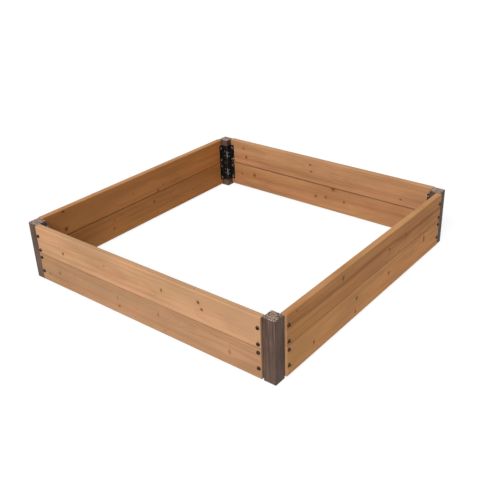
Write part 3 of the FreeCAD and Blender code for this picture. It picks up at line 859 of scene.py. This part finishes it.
def make_post(corner):
    node = corner + "_post"
    rng = random.Random(POST_SEED + CORNERS[corner])
    low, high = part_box(node)
    side, height = high.x - low.x, high.z - low.z
    sides = rounded_section(side, side, POST_EDGE_RADIUS, POST_STEP, POST_EDGE_POINTS)
    steps = round(height / POST_STATION_STEP)
    levels = np.linspace(POST_END_CHAMFER, height - POST_END_CHAMFER, steps)
    stations = [(0.0, POST_END_CHAMFER)] + [(z, 0.0) for z in levels] + [(height, POST_END_CHAMFER)]
    points, faces = bar(sides, stations)
    piece = new_piece(corner + "_composite", points, faces, composite, node, "posts")
    place = Matrix.Translation(((low.x + high.x) / 2, (low.y + high.y) / 2, low.z))
    screws = fastener_places(corner, "screws")
    inverse = place.inverted()
    cut(piece, rods([inverse @ m for m in screws], PILOT_RADIUS, -SCREW_LENGTH, -PLATE / 2))

    mesh = piece.data
    points, normals = points_and_normals(mesh)
    x, y, z = points.T
    end = np.abs(normals[:, 2]) > FACING
    around = np.where(np.abs(normals[:, 0]) > np.abs(normals[:, 1]), y, x + 2 * side)
    brushed = np.zeros(len(points))
    for wave in np.geomspace(*GROOVES):
        lean = drift(z, rng, *GROOVE_DRIFT)
        brushed += np.sin(2 * math.pi * around / wave + lean + rng.uniform(0, 6)) / GROOVES[2]
    chips = np.zeros(len(points))
    for wave in np.geomspace(*CHIPS):
        angle = rng.uniform(0, math.pi)
        along = x * math.cos(angle) + y * math.sin(angle)
        chips += np.sin(2 * math.pi * along / wave + rng.uniform(0, 6)) / CHIPS[2]
    hollow = np.where(end, CHIP_DEPTH * np.clip(0.5 + RELIEF_CONTRAST * chips, 0, 1),
                      GROOVE_DEPTH * np.clip(0.5 + RELIEF_CONTRAST * brushed, 0, 1))
    set_points(mesh, points - normals * hollow[:, None])
    store(mesh, sawn_end=end.astype(float))
    mesh.transform(place)
    settle(piece)


# Brackets

def folded_path(corners, radius):
    """Open path through corners, each rounded by the same radius."""
    points = [corners[0]]
    for before, corner, after in zip(corners, corners[1:], corners[2:]):
        into = (corner - before).normalized()
        out = (after - corner).normalized()
        half = into.angle(out) / 2
        start = corner - into * radius * math.tan(half)
        centre = start + (out - into * into.dot(out)).normalized() * radius
        last = points[-1]
        count = max(1, round((start - last).length / PLATE_STEP))
        points += [last.lerp(start, i / count) for i in range(1, count + 1)]
        for i in range(1, FOLD_STEPS + 1):
            angle = 2 * half * i / FOLD_STEPS
            points.append(centre + (start - centre) * math.cos(angle) + into * radius * math.sin(angle))
    last = points[-1]
    count = round((corners[-1] - last).length / PLATE_STEP)
    return points + [last.lerp(corners[-1], i / count) for i in range(1, count + 1)]


def make_bracket(corner, row):
    """Plate folded from its middle surface, with its bead pressed out along the post's edge."""
    node = corner + "_" + row + "_bracket"
    low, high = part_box(node)
    post_low, post_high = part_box(corner + "_post")
    board_low, board_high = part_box("front_lower_board")
    thickness = board_high.y - board_low.y
    outer_x = math.copysign(max(abs(low.x), abs(high.x)) + thickness, low.x)
    outer_y = math.copysign(max(abs(low.y), abs(high.y)) + thickness, low.y)
    wing = high.x - low.x + thickness
    flat = thickness + PLATE / 2
    edge = abs(outer_x) - min(abs(post_low.x), abs(post_high.x)) + PLATE / 2
    turns = ((wing, flat), (edge, flat), (edge, edge), (flat, edge), (flat, wing))
    corners = [Vector(turn) for turn in turns]
    path = folded_path(corners, FOLD_RADIUS)
    levels = np.linspace(0, high.z - low.z, round((high.z - low.z) / PLATE_STEP) + 1)
    tall = levels[-1]

    crest_at = Vector((edge, edge)) - Vector((1, 1)) * FOLD_RADIUS * (1 - math.sqrt(0.5))
    points, crests = [], []
    for place in path:
        free = min((place - corners[0]).length, (place - corners[-1]).length)
        radius = WING_CORNER_RADIUS
        clip = radius - math.sqrt(radius ** 2 - (radius - free) ** 2) if free < radius else 0.0
        across = (place - crest_at).length / BEAD_HALF_WIDTH
        for z in levels:
            past = max(0.0, abs(z - tall / 2) - (BEAD_LENGTH / 2 - BEAD_HALF_WIDTH)) / BEAD_HALF_WIDTH
            away = math.hypot(across, past)
            crest = 0.5 + 0.5 * math.cos(math.pi * min(away, 1.0))
            spot = place + Vector((1, 1)).normalized() * BEAD_RISE * crest
            height = clip + (tall - 2 * clip) * z / tall
            points.append((spot.x, spot.y, height))
            crests.append(crest)
    rows = len(levels)
    starts = [i * rows + j for i in range(len(path) - 1) for j in range(rows - 1)]
    faces = [(a, a + 1, a + 1 + rows, a + rows) for a in starts]
    piece = new_piece(corner + "_" + row + "_plate", points, faces, powder_coat, node, "brackets")
    store(piece.data, crest=np.array(crests))
    solid = piece.modifiers.new("thickness", "SOLIDIFY")
    solid.thickness = PLATE
    solid.offset = 0
    solid.use_even_offset = True
    apply_modifiers(piece)
    place = Matrix.Translation((outer_x, outer_y, low.z))
    piece.data.transform(place @ Matrix.Rotation(CORNERS[corner] * math.pi / 2, 4, "Z"))
    for kind, hole in (("nuts", BOLT_HOLE_RADIUS), ("screws", SCREW_HOLE_RADIUS)):
        through = [m for m in fastener_places(corner, kind) if low.z < m.translation.z < high.z]
        cut(piece, rods(through, hole, -2 * PLATE, PLATE))
    bevel = piece.modifiers.new("edges", "BEVEL")
    bevel.width = PLATE_EDGE_BEVEL
    bevel.segments = 2
    bevel.limit_method = "ANGLE"
    bevel.angle_limit = PLATE_EDGE_ANGLE
    apply_modifiers(piece)
    settle(piece)


# Fasteners

def hexagon(across):
    """Radius of a hexagon at each angle, with a flat square to x."""
    def radius(angle):
        return across / 2 / math.cos((angle + math.pi / 6) % (math.pi / 3) - math.pi / 6)
    return radius


def cross(length, width):
    """Radius at each angle of a cross with two equal arms."""
    def radius(angle):
        c, s = abs(math.cos(angle)) + TINY, abs(math.sin(angle)) + TINY
        return max(min(length / 2 / c, width / 2 / s), min(length / 2 / s, width / 2 / c))
    return radius


def threaded(radius, pitch, depth, z):
    """Radius at each angle of a thread at height z."""
    def at(angle):
        turn = (z / pitch - angle / (2 * math.pi)) % 1.0
        slope, start = THREAD_SIDES
        return radius - depth * min(1.0, max(0.0, slope * abs(2 * turn - 1) - start))
    return at


def dome(radius, height, rim, flat):
    """Rows of a head's side and rounded top."""
    rows = [(0.0, radius - RIM_EASE), (RIM_EASE, radius)]
    for angle in np.linspace(0, math.pi / 2, DOME_STEPS):
        rows.append((rim + (height - rim) * math.sin(angle), flat + (radius - flat) * math.cos(angle)))
    return rows


def bolt_rows():
    rows = [(-BOLT_LENGTH, 0.0), (-BOLT_LENGTH, BOLT_RADIUS - BOLT_TIP)]
    for z in np.arange(BOLT_PITCH / 2, BOLT_THREAD, BOLT_PITCH / THREAD_STEPS):
        rows.append((z - BOLT_LENGTH, threaded(BOLT_RADIUS, BOLT_PITCH, THREAD_DEPTH, z)))
    rows += [(BOLT_THREAD - BOLT_LENGTH, BOLT_RADIUS), (0.0, BOLT_RADIUS)]
    rows += dome(BOLT_HEAD_RADIUS, BOLT_HEAD_HEIGHT, BOLT_HEAD_RIM, BOLT_HEAD_FLAT)
    return rows + [
        (BOLT_HEAD_HEIGHT, hexagon(SOCKET_ACROSS + SOCKET_EASE)),
        (BOLT_HEAD_HEIGHT - RIM_EASE, hexagon(SOCKET_ACROSS)),
        (BOLT_HEAD_HEIGHT - SOCKET_DEPTH, hexagon(SOCKET_ACROSS)),
        (BOLT_HEAD_HEIGHT - SOCKET_DEPTH - SOCKET_EASE, 0.0),
    ]


def nut_rows():
    """Outside from the seat up, then back down through the thread."""
    flats = hexagon(NUT_ACROSS)
    reach = NUT_ACROSS / math.sqrt(3)
    bevel = (reach - NUT_FACE_RADIUS) * math.tan(NUT_BEVEL)

    def outside(z):
        from_face = min(z, NUT_HEIGHT - z)
        limit = NUT_FACE_RADIUS + from_face / math.tan(NUT_BEVEL)
        return lambda angle: min(flats(angle), limit)
    chamfer = list(np.linspace(0, bevel, NUT_BEVEL_STEPS))
    rows = [(z, outside(z)) for z in chamfer + [NUT_HEIGHT - z for z in chamfer[::-1]]]
    bore = BOLT_RADIUS + NUT_BORE_GAP
    return rows + [
        (NUT_HEIGHT, bore + NUT_BORE_EASE),
        (NUT_HEIGHT - NUT_BORE_EASE, bore),
        (NUT_BORE_EASE, bore),
        (0.0, bore + NUT_BORE_EASE),
    ]


def screw_rows():
    rows = [(-SCREW_LENGTH, 0.0)]
    step = SCREW_PITCH / THREAD_STEPS
    for z in np.arange(step, SCREW_LENGTH - SCREW_THREAD_END, step):
        taper = min(1.0, (z + RIM_EASE) / SCREW_POINT)
        core = threaded(SCREW_RADIUS * taper, SCREW_PITCH, SCREW_THREAD_DEPTH * taper, z)
        rows.append((z - SCREW_LENGTH, core))
    rows += [(-SCREW_NECK, SCREW_RADIUS), (0.0, SCREW_RADIUS)]
    rows += dome(SCREW_HEAD_RADIUS, SCREW_HEAD_HEIGHT, SCREW_HEAD_RIM, SCREW_HEAD_FLAT)
    mouth, bottom = [CROSS_LENGTH * share for share in CROSS_LENGTHS]
    return rows + [
        (SCREW_HEAD_HEIGHT - CROSS_EASE, cross(mouth, CROSS_WIDTH)),
        (SCREW_HEAD_HEIGHT - CROSS_DEPTH, cross(bottom, CROSS_WIDTH * CROSS_BOTTOM_WIDTH)),
        (SCREW_HEAD_HEIGHT - CROSS_DEPTH - RIM_EASE, 0.0),
    ]


def make_fasteners(corner):
    """Bolts and screws are each turned to an angle of their own. Nuts all lie alike."""
    rng = random.Random(FASTENER_SEED + CORNERS[corner])
    kinds = (
        ("bolts", "threaded", lathe(bolt_rows()), rng, black_bolts, "bolts_and_nuts"),
        ("nuts", "bevelled", lathe(nut_rows(), closed=True), None, zinc_nuts, "bolts_and_nuts"),
        ("screws", "crossed", lathe(screw_rows()), rng, dull_screws, "post_screws"),
    )
    for kind, word, (points, faces), draws, material, slot in kinds:
        points, faces = copies(points, faces, fastener_places(corner, kind, draws))
        node = corner + "_" + kind
        settle(new_piece(node + "_" + word, points, faces, material, node, slot))


# Studio

def make_camera():
    camera = add_object("camera", bpy.data.cameras.new("camera"))
    turn = Matrix.Rotation(math.radians(CAMERA_AZIMUTH), 4, "Z")
    turn @= Matrix.Rotation(math.radians(90 - CAMERA_ELEVATION), 4, "X")
    turn @= Matrix.Rotation(math.radians(CAMERA_ROLL), 4, "Z")
    camera.matrix_world = Matrix.Translation(CAMERA_PLACE) @ turn
    camera.data.sensor_width = CAMERA_SENSOR
    camera.data.lens = CAMERA_LENS
    camera.data.shift_x = CAMERA_SHIFT
    bpy.context.scene.camera = camera


def shader(tree, kind, grey, strength=None):
    node = tree.nodes.new(kind)
    node.inputs["Color"].default_value = (grey,) * 3 + (1,)
    if strength is not None:
        node.inputs["Strength"].default_value = strength
    return node.outputs[0]


def join_by_ray(tree, for_light, for_view, output):
    """One shader lights the object. The other is what the camera sees directly, in a mirror or
    through glass."""
    rays = tree.nodes.new("ShaderNodeLightPath")
    seen = rays.outputs["Is Camera Ray"]
    for name in ("Is Glossy Ray", "Is Transmission Ray"):
        most = tree.nodes.new("ShaderNodeMath")
        most.operation = "MAXIMUM"
        tree.links.new(seen, most.inputs[0])
        tree.links.new(rays.outputs[name], most.inputs[1])
        seen = most.outputs[0]
    choose = tree.nodes.new("ShaderNodeMixShader")
    for socket, value in zip(choose.inputs, (seen, for_light, for_view)):
        tree.links.new(value, socket)
    tree.links.new(choose.outputs[0], tree.nodes.new(output).inputs["Surface"])


def make_floor():
    """White floor: it shows the object's shadow softly, because part of its white is its own."""
    mesh = bpy.data.meshes.new("floor")
    corners = [(FLOOR_REACH * x, FLOOR_REACH * y, 0) for x, y in ((-1, -1), (1, -1), (1, 1), (-1, 1))]
    mesh.from_pydata(corners, [], [(0, 1, 2, 3)])
    floor = add_object("floor", mesh)
    floor.location.z = FLOOR_LEVEL
    material = bpy.data.materials.new("floor_white")
    tree = empty_tree(material)
    both = tree.nodes.new("ShaderNodeAddShader")
    tree.links.new(shader(tree, "ShaderNodeBsdfDiffuse", FLOOR_SHADE), both.inputs[0])
    tree.links.new(shader(tree, "ShaderNodeEmission", 1.0, FLOOR_GLOW), both.inputs[1])
    lit = shader(tree, "ShaderNodeBsdfDiffuse", FLOOR_ALBEDO)
    join_by_ray(tree, lit, both.outputs[0], "ShaderNodeOutputMaterial")
    mesh.materials.append(material)


def make_world():
    world = bpy.data.worlds.new("studio")
    bpy.context.scene.world = world
    tree = empty_tree(world)
    room = shader(tree, "ShaderNodeBackground", 1.0, ROOM_LIGHT)
    white = shader(tree, "ShaderNodeBackground", 1.0, 1.0)
    join_by_ray(tree, room, white, "ShaderNodeOutputWorld")


def make_sun():
    """Broad, even key light from the front."""
    data = bpy.data.lights.new("key", "SUN")
    data.energy = SUN_STRENGTH
    data.angle = math.radians(SUN_SPREAD)
    sun = add_object("key", data)
    sun.matrix_world = Vector(SUN_FROM).to_track_quat("Z", "Y").to_matrix().to_4x4()


def make_studio():
    make_camera()
    make_floor()
    make_world()
    make_sun()
    bpy.context.scene.view_settings.view_transform = "Standard"


composite = composite_material("composite")
powder_coat = powder_coat_material("powder_coat")
black_bolts, zinc_nuts, dull_screws = [metal_material(name, *look) for name, look in METALS.items()]

make_studio()
for number, wall in enumerate(WALLS):
    for level, row in enumerate(ROWS):
        make_board(wall, row, 2 * number + level)
for corner in CORNERS:
    make_post(corner)
    make_fasteners(corner)
    for row in ROWS:
        make_bracket(corner, row)
